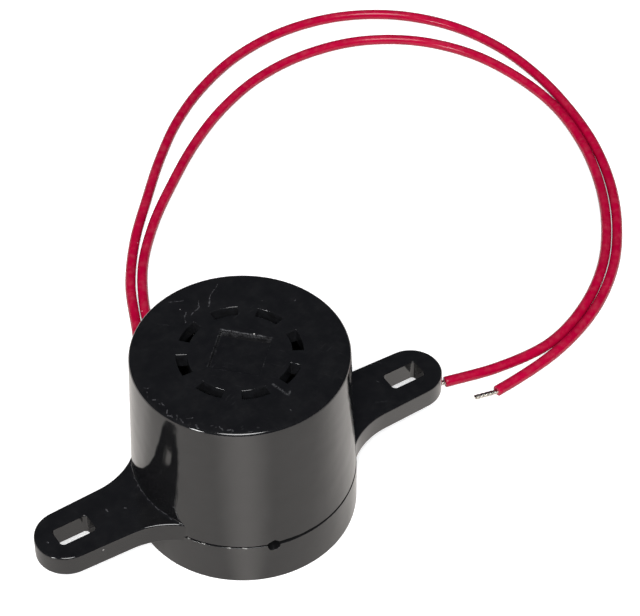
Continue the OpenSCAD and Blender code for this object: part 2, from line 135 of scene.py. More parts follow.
def mixColor(tree, share, first, second):
    node = tree.nodes.new("ShaderNodeMix")
    node.data_type = "RGBA"
    for value, socket in ((share, node.inputs[0]), (first, node.inputs[6]), (second, node.inputs[7])):
        if isinstance(value, (int, float)):
            socket.default_value = value
        elif isinstance(value, tuple):
            socket.default_value = value + (1.0,)
        else:
            tree.links.new(value, socket)
    return node.outputs[2]


def newGroup(name, inputs, outputs):
    group = bpy.data.node_groups.new(name, "ShaderNodeTree")
    for label, kind, value in inputs:
        socket = group.interface.new_socket(name=label, in_out="INPUT", socket_type="NodeSocket" + kind)
        if value is not None:
            socket.default_value = value
    for label, kind in outputs:
        group.interface.new_socket(name=label, in_out="OUTPUT", socket_type="NodeSocket" + kind)
    return group, group.nodes.new("NodeGroupInput").outputs, group.nodes.new("NodeGroupOutput").inputs


def useGroup(tree, group, **values):
    node = tree.nodes.new("ShaderNodeGroup")
    node.node_tree = group
    for label, value in values.items():
        if isinstance(value, (int, float, tuple)):
            node.inputs[label].default_value = value
        else:
            tree.links.new(value, node.inputs[label])
    return node.outputs


# Position in millimetres, from the object's own coordinates
def placeGroup():
    group, _, made = newGroup("placeMm", [], [("Position", "Vector")])
    coords = group.nodes.new("ShaderNodeTexCoord").outputs["Object"]
    group.links.new(vectorCalc(group, "SCALE", coords, 1000.0), made["Position"])
    return group


# Hair scratches: noise stretched along one direction, cut to its thin crests, in patches
def scratchGroup():
    group, given, made = newGroup(
        "hairScratches",
        [("Position", "Vector", None), ("Turn", "Float", 0.6)]
        + [("Fineness", "Float", 6.0), ("Amount", "Float", 0.5)],
        [("Mask", "Float")],
    )
    turned = group.nodes.new("ShaderNodeVectorRotate")
    turned.rotation_type = "Z_AXIS"
    group.links.new(given["Position"], turned.inputs["Vector"])
    group.links.new(given["Turn"], turned.inputs["Angle"])
    thin = vectorCalc(group, "MULTIPLY", turned.outputs["Vector"], (0.06, 1.0, 1.0))
    field = group.nodes.new("ShaderNodeTexNoise")
    field.inputs["Detail"].default_value = 1.0
    group.links.new(thin, field.inputs["Vector"])
    group.links.new(given["Fineness"], field.inputs["Scale"])
    crest = ramp(group, field.outputs["Fac"], 0.69, 0.76)
    patch = ramp(group, noise(group, given["Position"], 0.35, 2.0), 0.5, 0.68)
    strength = calc(group, "MULTIPLY", calc(group, "MULTIPLY", crest, patch), given["Amount"], clamp=True)
    group.links.new(strength, made["Mask"])
    return group


# Dust: small round specks of random size in a share of the cells, plus a thin film
def dustGroup():
    group, given, made = newGroup(
        "dustSpecks",
        [("Position", "Vector", None), ("Cells", "Float", 0.7)]
        + [("Size", "Float", 0.12), ("Share", "Float", 0.4)],
        [("Mask", "Float"), ("Film", "Float")],
    )
    cell = group.nodes.new("ShaderNodeTexVoronoi")
    group.links.new(given["Position"], cell.inputs["Vector"])
    group.links.new(given["Cells"], cell.inputs["Scale"])
    parts = group.nodes.new("ShaderNodeSeparateColor")
    group.links.new(cell.outputs["Color"], parts.inputs["Color"])
    size = calc(group, "MULTIPLY", calc(group, "POWER", parts.outputs[1], 2.5), given["Size"])
    inner = calc(group, "MULTIPLY", size, 0.5)
    speck = ramp(group, cell.outputs["Distance"], inner, size, 1.0, 0.0)
    chosen = calc(group, "LESS_THAN", parts.outputs[0], given["Share"])
    group.links.new(calc(group, "MULTIPLY", speck, chosen), made["Mask"])
    facing = group.nodes.new("ShaderNodeSeparateXYZ")
    group.links.new(group.nodes.new("ShaderNodeNewGeometry").outputs["Normal"], facing.inputs["Vector"])
    lying = ramp(group, facing.outputs["Z"], 0.3, 0.95)
    patchy = ramp(group, noise(group, given["Position"], 0.9, 5.0, 0.65), 0.4, 0.75)
    group.links.new(calc(group, "MULTIPLY", patchy, lying), made["Film"])
    return group


# Worn edges: where the rounded normal turns away from the true one, broken up by noise
def edgeGroup():
    group, given, made = newGroup(
        "wornEdges",
        [("Position", "Vector", None), ("Radius", "Float", 0.00025), ("Amount", "Float", 0.5)],
        [("Mask", "Float")],
    )
    soft = group.nodes.new("ShaderNodeBevel")
    soft.samples = 4
    group.links.new(given["Radius"], soft.inputs["Radius"])
    true = group.nodes.new("ShaderNodeNewGeometry").outputs["Normal"]
    bend = vectorCalc(group, "DOT_PRODUCT", soft.outputs["Normal"], true)
    edge = ramp(group, bend, 0.8, 0.99, 1.0, 0.0)
    broken = ramp(group, noise(group, given["Position"], 1.6, 4.0, 0.7), 0.48, 0.66)
    worn = calc(group, "MULTIPLY", edge, broken)
    group.links.new(calc(group, "MULTIPLY", worn, given["Amount"]), made["Mask"])
    return group


# Ground for the marks: the place they are measured at, wobbled, and the mask that breaks them up
def markFieldGroup():
    group, given, made = newGroup(
        "markField", [("Position", "Vector", None)], [("Place", "Vector"), ("Broken", "Float")]
    )
    wobble = group.nodes.new("ShaderNodeTexNoise")
    wobble.inputs["Scale"].default_value = 1.3
    group.links.new(given["Position"], wobble.inputs["Vector"])
    shift = vectorCalc(group, "SUBTRACT", wobble.outputs["Color"], (0.5, 0.5, 0.5))
    moved = vectorCalc(group, "SCALE", shift, 0.45)
    group.links.new(vectorCalc(group, "ADD", given["Position"], moved), made["Place"])
    group.links.new(ramp(group, noise(group, given["Position"], 5.0, 3.0, 0.7), 0.35, 0.6), made["Broken"])
    return group


# One mark: distance to the line between two points, in millimetres, with a jog where it crosses an older mark
def markGroup():
    group, given, made = newGroup(
        "oneMark",
        [("Place", "Vector", None), ("Before", "Float", 0.0), ("Start", "Vector", (0, 0, 0))]
        + [("End", "Vector", (1, 0, 0)), ("Width", "Float", 0.08), ("Amount", "Float", 1.0)],
        [("After", "Float")],
    )
    jogged = vectorCalc(group, "MULTIPLY_ADD", given["Before"], (0.03, -0.02, 0.0), given["Place"])
    line = vectorCalc(group, "SUBTRACT", given["End"], given["Start"])
    off = vectorCalc(group, "SUBTRACT", jogged, given["Start"])
    size = vectorCalc(group, "DOT_PRODUCT", line, line)
    reach = calc(group, "DIVIDE", vectorCalc(group, "DOT_PRODUCT", off, line), size, clamp=True)
    along = group.nodes.new("ShaderNodeVectorMath")
    along.operation = "SCALE"
    group.links.new(line, along.inputs[0])
    group.links.new(reach, along.inputs["Scale"])
    gap = vectorCalc(group, "DISTANCE", off, along.outputs["Vector"])
    body = ramp(group, gap, 0.0, given["Width"], 1.0, 0.0)
    group.links.new(
        calc(group, "MAXIMUM", given["Before"], calc(group, "MULTIPLY", body, given["Amount"])), made["After"]
    )
    return group


# Moulded skin: long waves and fine grain as one bent normal
def skinGroup():
    group, given, made = newGroup(
        "mouldedSkin",
        [("Position", "Vector", None), ("Wave", "Float", 0.02)]
        + [("Grain", "Float", 0.004), ("Cut", "Float", 0.0)],
        [("Normal", "Vector")],
    )
    wave = calc(group, "MULTIPLY", noise(group, given["Position"], 0.35, 1.0), given["Wave"])
    grain = calc(group, "MULTIPLY", noise(group, given["Position"], 7.0, 4.0, 0.6), given["Grain"])
    height = calc(group, "SUBTRACT", calc(group, "ADD", wave, grain), given["Cut"])
    bump = group.nodes.new("ShaderNodeBump")
    bump.inputs["Strength"].default_value = 1.0
    bump.inputs["Distance"].default_value = mm
    group.links.new(height, bump.inputs["Height"])
    group.links.new(bump.outputs["Normal"], made["Normal"])
    return group


place = placeGroup()
scratches = scratchGroup()
dust = dustGroup()
edges = edgeGroup()
markField = markFieldGroup()
mark = markGroup()
skin = skinGroup()
print("stage: shader groups")


# Base of every material: a Principled shader that takes its constant values directly
def newMaterial(name, s):
    material = bpy.data.materials.new(name)
    material.use_nodes = True
    tree = material.node_tree
    tree.nodes.clear()
    out = tree.nodes.new("ShaderNodeOutputMaterial")
    shader = tree.nodes.new("ShaderNodeBsdfPrincipled")
    shader.inputs["Metallic"].default_value = s.get("metal", 0.0)
    shader.inputs["IOR"].default_value = s.get("ior", 1.5)
    shader.inputs["Specular IOR Level"].default_value = s.get("shine", 0.5)
    tree.links.new(shader.outputs["BSDF"], out.inputs["Surface"])
    return material, tree, shader


# All marks of one kind, laid one after the other
def layMarks(tree, field, marks):
    laid = 0.0
    for start, end, width, amount in marks:
        laid = useGroup(
            tree, mark, Place=field["Place"], Before=laid, Start=start, End=end, Width=width, Amount=amount
        )["After"]
    return calc(tree, "MULTIPLY", laid, field["Broken"])


# Hollow places: a ring round the middle, below a level, patchy
def hollowMask(tree, position, s):
    parts = tree.nodes.new("ShaderNodeSeparateXYZ")
    tree.links.new(position, parts.inputs["Vector"])
    away = vectorCalc(tree, "LENGTH", vectorCalc(tree, "MULTIPLY", position, (1.0, 1.0, 0.0)))
    aside = calc(tree, "ABSOLUTE", calc(tree, "SUBTRACT", away, s["middle"]))
    ring = calc(tree, "LESS_THAN", aside, s["half"])
    deep = ramp(tree, parts.outputs["Z"], s["level"] - 0.12, s["level"] - 0.04, 1.0, 0.0)
    high = calc(tree, "GREATER_THAN", parts.outputs["Z"], s["level"] - s["deep"])
    patchy = ramp(tree, noise(tree, position, 1.7, 3.0, 0.6), 0.35, 0.7, 0.2, 1.0)
    return calc(tree, "MULTIPLY", calc(tree, "MULTIPLY", ring, high), calc(tree, "MULTIPLY", deep, patchy))


# Worn surface: ground colour with scratches, marks (on the housing partly painted highlights and reflection),
# edge wear, a paler tone in hollows, dust and chips laid over it in turn
def wornMaterial(name, s, marks=(), chips=(), hollow=None):
    material, tree, shader = newMaterial(name, s)
    position = useGroup(tree, place)["Position"]
    hairs = []
    for swing, finer in ((0.0, 1.0), (1.9, 1.4)):  # two sets that cross
        turn, fine = s["turn"] + swing, s["fineness"] * finer
        laid = useGroup(tree, scratches, Position=position, Turn=turn, Fineness=fine, Amount=s["scratch"])
        hairs.append(laid["Mask"])
    cut = calc(tree, "MAXIMUM", *hairs)
    depth = calc(tree, "MULTIPLY", cut, 0.02)
    field = useGroup(tree, markField, Position=position)
    cut = calc(tree, "MAXIMUM", cut, layMarks(tree, field, marks)) if marks else cut
    specks = useGroup(tree, dust, Position=position, Cells=s["cells"], Size=s["speck"], Share=s["share"])
    worn = useGroup(tree, edges, Position=position, Radius=s["edge"] * mm, Amount=s["edgeWear"])["Mask"]
    shade = ramp(tree, noise(tree, position, s.get("grainScale", 0.5), 4.0), 0.3, 0.7)
    color = mixColor(tree, shade, s["color"], s["second"])
    color = mixColor(tree, calc(tree, "MULTIPLY", specks["Film"], s["film"]), color, s["dustColor"])
    color = mixColor(tree, cut, color, s["cutColor"])
    color = mixColor(tree, worn, color, s["cutColor"])
    if hollow:
        color = mixColor(tree, hollowMask(tree, position, hollow), color, hollow["color"])
    color = mixColor(tree, specks["Mask"], color, s["dustColor"])
    color = mixColor(tree, layMarks(tree, field, chips), color, s["chipColor"]) if chips else color
    tree.links.new(color, shader.inputs["Base Color"])
    smear = ramp(tree, noise(tree, position, 0.22, 4.0, 0.6), 0.3, 0.75, s["rough"], s["rough"] + s["smear"])
    scuffed = calc(tree, "MULTIPLY", cut, 0.5)
    dull = calc(tree, "MAXIMUM", scuffed, calc(tree, "MULTIPLY", specks["Mask"], 0.8))
    tree.links.new(calc(tree, "MAXIMUM", smear, dull), shader.inputs["Roughness"])
    normal = useGroup(tree, skin, Position=position, Wave=s["wave"], Grain=s["grain"], Cut=depth)["Normal"]
    tree.links.new(normal, shader.inputs["Normal"])
    return material


# Mesh helpers: a sheet is a grid of points in millimetres, rows by columns
def gridQuads(rows, cols, wrap):
    row = np.arange(rows - 1)[:, None]
    col = np.arange(cols if wrap else cols - 1)[None, :]
    after = (col + 1) % cols
    corners = [row * cols + col, row * cols + after, (row + 1) * cols + after, (row + 1) * cols + col]
    return np.stack(corners, -1).reshape(-1, 4)


# Piece: its sheets as one mesh with doubles merged and faces turned out, set in place of its CAD node
def makePiece(name, sheets, material, replaced, sharp=38.0):
    points, quads, base = [], [], 0
    for sheet in sheets:
        grid = np.asarray(sheet["points"], float)
        faces = gridQuads(grid.shape[0], grid.shape[1], sheet.get("wrap", False))
        if "keep" in sheet:
            faces = faces[sheet["keep"].ravel()]
        points.append(grid.reshape(-1, 3))
        quads.append(faces + base)
        base += grid.shape[0] * grid.shape[1]
    mesh = bpy.data.meshes.new(name)
    mesh.from_pydata((np.concatenate(points) * mm).tolist(), [], np.concatenate(quads).tolist())
    work = bmesh.new()
    work.from_mesh(mesh)
    bmesh.ops.remove_doubles(work, verts=work.verts, dist=1.5e-6)
    bmesh.ops.recalc_face_normals(work, faces=work.faces)
    work.to_mesh(mesh)
    work.free()
    mesh.polygons.foreach_set("use_smooth", np.ones(len(mesh.polygons), bool))
    mesh.set_sharp_from_angle(angle=math.radians(sharp))
    mesh.materials.append(material)
    piece = bpy.data.objects.new(name, mesh)
    scene.collection.objects.link(piece)
    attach(piece, "root")
    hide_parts(*replaced)
    return piece


# Smooth line through points: cubic pieces whose slopes come from the neighbours
def smoothLine(points, step):
    points = np.asarray(points, float)
    chord = np.concatenate([[0.0], np.cumsum(np.linalg.norm(np.diff(points, axis=0), axis=1))])
    slope = np.gradient(points, chord, axis=0)
    place = np.linspace(0.0, chord[-1], int(chord[-1] / step) + 1)
    i = np.clip(np.searchsorted(chord, place, side="right") - 1, 0, len(chord) - 2)
    width = (chord[i + 1] - chord[i])[:, None]
    t = (place - chord[i])[:, None] / width
    return (
        (2 * t**3 - 3 * t**2 + 1) * points[i]
        + (t**3 - 2 * t**2 + t) * width * slope[i]
        + (3 * t**2 - 2 * t**3) * points[i + 1]
        + (t**3 - t**2) * width * slope[i + 1]
    )


# Frame along a line: its direction, the level direction square to it, and the one square to both
def lineFrame(line):
    ahead = np.gradient(line, axis=0)
    ahead /= np.linalg.norm(ahead, axis=1, keepdims=True)
    side = np.cross(ahead, np.array([0.0, 0.0, 1.0]))
    side /= np.linalg.norm(side, axis=1, keepdims=True)
    return ahead, side, np.cross(side, ahead)


# Tube: circle of the given radius at each point of the line, square to the line
def tubeSheet(line, radius, sides):
    _, side, over = lineFrame(line)
    turn = np.linspace(0.0, 2 * np.pi, sides, endpoint=False)
    radius = np.broadcast_to(np.asarray(radius, float), (len(line),))[:, None, None]
    ring = np.cos(turn)[None, :, None] * side[:, None, :] + np.sin(turn)[None, :, None] * over[:, None, :]
    return line[:, None, :] + radius * ring


# Leads: the route read from the photo, from inside the gate down to the table and round the loop
leadSet = {
    "radius": 0.6,
    "sides": 24,
    "cutEnd": [(0.03, 0.97), (0.05, 0.9), (0.06, 0.6), (0.065, 0.36)],  # mm past the end, share of the radius
    "strand": 0.12,
    "strands": 4,
    "strandSides": 8,
    "strandRows": 90,
    "inside": 0.3,  # mm of the strands within the jacket
    "tip": 2.75,
    "tipTurn": {"a": -18.0, "b": 0.0},  # degrees the bare end is bent
    "twist": 2.0,  # mm for one turn of the strands
    "gateZ": 5.15,
    "startR": 6.984,
    "outR": 12.95,
    "wallR": 11.75,
    "turns": {"a": 108.0, "b": 96.0},
    "fall": {
        "a": [(-3.7, 15, 0.72), (-2.5, 18.2, 0.34), (-0.16, 21.74, 0.04)],
        "b": [(-1.3, 16.2, 0.7), (0.1, 19.7, 0.32), (2.4, 23.49, 0.04)],
    },
    "lay": {
        "a": [(2.06, 26.74), (4.94, 33.33), (8.89, 39.33), (13.57, 44.78), (18.4, 50.07), (23.66, 54.92)]
        + [(29.67, 58.85), (36.43, 61.6), (43.66, 62.49), (50.77, 61.2), (56.98, 57.67), (61.67, 52.25)]
        + [(64.4, 45.63), (65.34, 38.56), (64.98, 31.42), (63.65, 24.42), (61.08, 17.61), (57.46, 11.48)]
        + [(52.77, 6.01), (46.8, 1.69), (40.24, -0.99), (33.28, -2.27), (30.67, -2.52)],
        "b": [(4.33, 28.88), (7.64, 35.21), (12.21, 40.72), (17.53, 45.58), (23.18, 50.11), (29.32, 53.89)]
        + [(36.05, 56.48), (43.28, 57.21), (50.28, 55.81), (56.29, 52.09), (60.72, 46.36), (63.05, 39.54)]
        + [(63.73, 32.5), (62.59, 25.43), (60.21, 18.82), (56.72, 12.64), (52.13, 7.15), (46.37, 2.9)]
        + [(39.82, 0.31), (32.65, 0.35), (26.64, 1.63)],
    },
    "color": (0.385, 0.0005, 0.0305),
    "second": (0.45, 0.001, 0.037),
    "cutColor": (0.8, 0.03, 0.1),
    "dustColor": (0.9, 0.5, 0.55),
    "rough": 0.17,
    "smear": 0.07,
    "shine": 0.4,
    "turn": 0.4,
    "fineness": 4.0,
    "scratch": 0.35,
    "cells": 0.8,
    "speck": 0.09,
    "share": 0.25,
    "film": 0.05,
    "edge": 0.1,
    "edgeWear": 0.3,
    "wave": 0.05,
    "grain": 0.004,
}

strandSet = {
    "color": (0.86, 0.83, 0.76),
    "second": (0.46, 0.43, 0.37),
    "cutColor": (0.95, 0.93, 0.9),
    "dustColor": (0.15, 0.13, 0.1),
    "metal": 1.0,
    "rough": 0.2,
    "smear": 0.15,
    "turn": 0.1,
    "fineness": 14.0,
    "scratch": 0.6,
    "cells": 3.0,
    "speck": 0.05,
    "share": 0.4,
    "film": 0.1,
    "edge": 0.04,
    "edgeWear": 0.3,
    "wave": 0.01,
    "grain": 0.01,
}

leadMaterial = wornMaterial("leadRed", leadSet)
strandMaterial = wornMaterial("tinnedStrand", strandSet)


# Lead: a tube along the smooth line from the gate to the table, cut off square, and its bare strands
def makeLead(which, s):
    turn = math.radians(s["turns"][which])
    out = np.array([math.cos(turn), math.sin(turn), 0.0])
    lift = np.array([0.0, 0.0, s["gateZ"]])
    points = [out * s["startR"] + lift, out * (s["startR"] + s["wallR"]) / 2 + lift, out * s["outR"] + lift]
    fall = np.array(s["fall"][which], float)
    fall[:, 2] = s["radius"] + fall[:, 2] * (s["gateZ"] - s["radius"])
    lay = np.array(s["lay"][which], float)
    lay = np.column_stack([lay, np.full(len(lay), s["radius"])])
    line = smoothLine(np.concatenate([points, fall, lay]), 0.4)
    line[:, 2] = np.maximum(line[:, 2], s["radius"])
    end, aim = line[-1], line[-1] - line[-2]
    aim = aim / np.linalg.norm(aim)
    # cut end: the jacket turns in to the core
    tube = tubeSheet(line, s["radius"], s["sides"])
    turnedIn = [end + aim * past + (tube[-1] - end) * share for past, share in s["cutEnd"]]
    tube = np.concatenate([tube, turnedIn])
    name = "lead" + which.upper()
    lead = makePiece(name, [{"points": tube, "wrap": True}], leadMaterial, ["lead_" + which])
    # strands: small tubes wound on helices round a line that leaves the jacket with a bend
    run = np.linspace(-s["inside"], s["tip"], s["strandRows"])
    bend = math.radians(s["tipTurn"][which]) * np.clip(run / 0.5, 0, 1) + math.atan2(aim[1], aim[0])
    steps = np.stack([np.cos(bend), np.sin(bend), 0 * bend], -1) * (run[1] - run[0])
    middle = end - aim * s["inside"] + np.cumsum(steps, axis=0)
    _, side, over = lineFrame(middle)
    wires = []
    offset = s["strand"] / math.sin(math.pi / s["strands"]) * 0.92
    for k in range(s["strands"]):
        angle = 2 * np.pi * (k / s["strands"] + run / s["twist"])
        fray = 1 + 0.3 * np.clip(run - s["tip"] + 0.7, 0, None) * ((k * 5) % 4) / 3
        wound = offset * (np.cos(angle)[:, None] * side + np.sin(angle)[:, None] * over) * fray[:, None]
        stop = s["strandRows"] - (k * 7) % 9
        taper = np.ones(stop)
        taper[-2:] = (0.8, 0.01)
        wire = tubeSheet((middle + wound)[:stop], s["strand"] * taper, s["strandSides"])
        wires.append({"points": wire, "wrap": True})
    tip = makePiece(name + "Tip", wires, strandMaterial, ["lead_%s_tip" % which], 60.0)
    length = float(np.linalg.norm(np.diff(line, axis=0), axis=1).sum())
    return length


leadLengths = [makeLead(which, leadSet) for which in ("a", "b")]
print("stage: leads", [round(length, 1) for length in leadLengths])

# Housing: one round skin from the seam up the wall and over the top, two ears, and three gates
housingSet = {
    "topR": 11.15,
    "rimR": 11.7,
    "high": 21.7,
    "seam": 5.3,
    "seamEdge": 0.07,
    "edge": 0.4,
    "wall": 1.5,
    "topT": 1.6,
    "topRows": (10.0, 8.8, 7.6),  # radius of the rows between rim and slots
    "slots": 8,
    "slotIn": 5.3,
    "slotOut": 6.4,
    "slotHalf": 13.0,  # degrees
    "slotTurn": 29.0,
    "slotEdge": 0.12,
    "slotNear": (0, 0.015, 0.035, 0.06, 0.12, 0.4),  # mm from a slot to the rows that round its edge
    "badge": 2.65,  # half side
    "badgeDepth": 0.5,
    "badgeEdge": 0.1,
    "gates": [(108.0, 0.7), (96.0, 0.7), (-106.0, 0.66)],
    "gateZ": 5.15,
    "gateDeep": 9.3,  # radius at the inner end of a gate
}
seamSet = {
    "gap": 0.15,
    "waver": 0.02,
    "gapeAt": -99.0,  # degrees, beside the spare gate
    "gapes": [(0.0, 6.0, 0.2), (14.0, 10.0, 0.09)],  # degrees past it, degrees wide, mm more
    "up": 0.6,  # share of the gap above the seam line
}


# Seam gap: a hair line all round with a bell-shaped opening beside the spare gate and three sine waves
def seamGap(s, angles):
    turn = np.radians(angles)
    local = (angles - s["gapeAt"] + 180.0) % 360.0 - 180.0
    waver = np.sin(7 * turn + 0.4) + 0.7 * np.sin(17 * turn + 1.9) + 0.5 * np.sin(41 * turn + 0.3)
    gap = s["gap"]
    for past, width, more in s["gapes"]:
        gap = gap + more * np.exp(-(((local - past) / width) ** 2))
    return gap + s["waver"] * waver


# Signed degrees from the nearest of a ring's evenly spaced places
def fromNearest(angles, first, count):
    pitch = 360.0 / count
    return (angles - first + pitch / 2) % pitch - pitch / 2


# Angles round the skin: close together at the slots' ends and over the gates, even elsewhere
def roundAngles(s):
    mid, half = (s["slotIn"] + s["slotOut"]) / 2, s["slotHalf"]
    near = np.degrees(np.array(s["slotNear"]) / mid)
    slot = np.concatenate([-half - near, half + near, np.linspace(-1, 1, 13) * half])
    slots = s["slotTurn"] + 360.0 / s["slots"] * np.arange(s["slots"])[:, None] + slot
    firm = [slots.ravel(), np.array([0.0, 90.0, 180.0, 270.0])]
    low = math.sqrt(1 - ((s["seam"] - s["gateZ"]) / s["gates"][0][1]) ** 2)
    beside = np.array([low - 1e-3, low + 1e-3, 1.001, 1.06, 1.3])
    arch = np.concatenate([np.sin(np.radians(np.linspace(-90, 90, 25))), -beside, beside])
    firm += [turn + np.degrees(r * arch / s["rimR"]) for turn, r in s["gates"]]
    firm = np.unique(np.round(np.concatenate(firm) % 360.0, 4))
    loose = np.arange(0.0, 360.0, 1.2)
    gap = np.abs((loose[:, None] - firm[None, :] + 180.0) % 360.0 - 180.0).min(1)
    return np.sort(np.concatenate([firm, loose[gap > 0.25]]))


# Edge along the seam: the gap's upper or lower side, carried over each gate by half a circle
def gateWave(s, angles, up):
    level = s["seam"] + seamGap(seamSet, angles) * (seamSet["up"] if up > 0 else seamSet["up"] - 1)
    for turn, r in s["gates"]:
        x = np.radians(fromNearest(angles, turn, 1)) * s["rimR"]
        arc = s["gateZ"] + up * np.sqrt(np.clip(r * r - x * x, 0, None))
        arc = arc + (0.05 * np.sin(8 * x + 1.0) + 0.03 * np.sin(19 * x)) * (turn < 0)
        inside = (np.abs(x) < r) & ((arc > level) if up > 0 else (arc < level))
        level = np.where(inside, arc, level)
    return level


# Edge rounding: how far a quarter circle of that radius has dropped at a distance from the edge
def edgeDrop(distance, radius):
    left = np.clip(radius - distance, 0, radius)
    return radius - np.sqrt(np.clip(radius**2 - left**2, 0, None))


# Angles of a quarter circle
def quarter(count):
    return np.linspace(0, np.pi / 2, count)


# Round skin: rows of radius and height turned about Z, up the wall, round the rim and into the recess,
# whose rows become squares by 1 over the greater of cosine and sine; the slots are left open in one row
def roundSkin(s, angles):
    draft = (s["rimR"] - s["topR"]) / (s["high"] - s["seam"] - s["seamEdge"])
    edgeZ = s["high"] - s["edge"]
    edgeR = s["rimR"] - draft * (edgeZ - s["seam"] - s["seamEdge"]) - s["edge"] * math.hypot(1, draft)
    low = gateWave(s, angles, 1)
    one = np.ones(len(angles))
    rows = [((s["rimR"] - s["wall"]) * one, low), ((s["rimR"] - s["seamEdge"] - 0.06) * one, low)]
    for t in quarter(6):
        r = s["rimR"] - s["seamEdge"] * (1 - math.sin(t))
        rows.append((r * one, low + s["seamEdge"] * (1 - math.cos(t))))
    lean = math.atan(draft)
    wallTop = edgeZ + s["edge"] * math.sin(lean)
    for share in (0.004, 0.02, 0.2, 0.4, 0.6, 0.8, 0.98, 0.996):
        z = low + s["seamEdge"] + (wallTop - low - s["seamEdge"]) * share
        rows.append((s["rimR"] - draft * (z - s["seam"] - s["seamEdge"]), z))
    for t in np.linspace(lean, np.pi / 2, 14):
        rows.append(((edgeR + s["edge"] * math.cos(t)) * one, (edgeZ + s["edge"] * math.sin(t)) * one))
    near = np.array(s["slotNear"])
    for r in np.concatenate([[edgeR - 0.05], s["topRows"], s["slotOut"] + near[::-1], s["slotIn"] - near]):
        rows.append((r * one, s["high"] * one))
    turned = np.radians(angles - 45.0)
    square = 1 / np.maximum(np.abs(np.cos(turned)), np.abs(np.sin(turned)))
    for d in (0.45, 0.12, 0.05, 0.03, 0.012, 0):
        rows.append(((s["badge"] + d) * square, (s["high"] - edgeDrop(d, s["badgeEdge"])) * one))
    floor = s["high"] - s["badgeDepth"]
    for d, z in ((0.03, 0.02), (0.05, 0), (0.12, 0), (0.9, 0), (1.8, 0), (s["badge"], 0)):
        rows.append(((s["badge"] - d) * square, (floor + z) * one))
    radius = np.array([row[0] for row in rows])
    height = np.array([np.broadcast_to(row[1], one.shape) for row in rows])
    away = np.abs(fromNearest(angles, s["slotTurn"], s["slots"]))[None, :]
    sideways = np.radians(np.clip(away - s["slotHalf"], 0, None)) * radius
    across = np.clip(np.maximum(radius - s["slotOut"], s["slotIn"] - radius), 0, None)
    onTop = np.abs(height - s["high"]) < 1e-6
    height = np.where(onTop, height - edgeDrop(np.hypot(sideways, across), s["slotEdge"]), height)
    turn = np.radians(angles)[None, :]
    points = np.stack([radius * np.cos(turn), radius * np.sin(turn), height], -1)
    middle = angles + ((np.roll(angles, -1) - angles) % 360.0) / 2
    inSlot = np.abs(fromNearest(middle, s["slotTurn"], s["slots"])) < s["slotHalf"]
    ringRow = int(np.argmin(np.abs(radius[:, 0] - s["slotOut"]) + (height[:, 0] < s["high"] - 1)))
    keep = np.ones((len(rows) - 1, len(angles)), bool)
    keep[ringRow] = ~inSlot
    sheets = [{"points": points, "wrap": True, "keep": keep}]
    # slot sides: the slot's outline carried straight down through the top wall
    levels = s["high"] - np.array([s["slotEdge"], s["slotEdge"] + 0.05, s["topT"] - 0.1, s["topT"]])
    for i in range(s["slots"]):
        centre = s["slotTurn"] + 360.0 / s["slots"] * i
        local = fromNearest(angles, centre, 1)
        arc = np.radians(centre + np.sort(local[np.abs(local) <= s["slotHalf"] + 1e-3]))
        outer = s["slotOut"] * np.stack([np.cos(arc), np.sin(arc)], -1)
        inner = s["slotIn"] * np.stack([np.cos(arc), np.sin(arc)], -1)[::-1]
        loop = np.concatenate([outer, inner])
        side = [np.column_stack([loop, np.full(len(loop), z)]) for z in levels]
        sheets.append({"points": np.array(side), "wrap": True})
    return sheets


# Gate tunnels: a round bore that runs in from the wall, closed at its inner end where no lead passes
def gateTunnels(s):
    sheets = []
    for turn, r in s["gates"]:
        way = math.radians(turn)
        out = np.array([math.cos(way), math.sin(way), 0.0])
        side = np.array([-math.sin(way), math.cos(way), 0.0])
        around = np.linspace(0, 2 * np.pi, 32, endpoint=False)
        ring = r * (np.cos(around)[:, None] * side + np.sin(around)[:, None] * np.array([0.0, 0.0, 1.0]))
        depths = [(s["rimR"] - 0.12, 1.0), (s["rimR"] - 0.6, 1.0), (s["gateDeep"], 1.0)]
        if turn < 0:
            depths += [(s["gateDeep"], 0.5), (s["gateDeep"], 0.0)]
        lift = np.array([0.0, 0.0, s["gateZ"]])
        sheets.append({"points": np.array([out * d + lift + ring * k for d, k in depths]), "wrap": True})
    return sheets


# Ears: tapered arms with round tips that flare into the wall, each with a rounded-corner slot
earSet = {
    "centre": 20.0,
    "width": 6.7,
    "over": 4.2,
    "thick": 2.5,
    "taper": 2.0,
    "low": 4.5,
    "flareR": 8.0,
    "bite": 0.3,  # how far the flare's circle cuts into the wall
    "slot": (2.0, 1.15, 0.45),  # half length, half width, corner
    "edge": 0.25,
    "foot": 0.12,
    "slotEdge": 0.12,
    "fillet": 0.3,
    "filletTurn": 27.0,  # degrees the fillet reaches to each side
    "filletFade": 6.0,
    "cutX": 17.0,
    "rootX": 9.4,
}


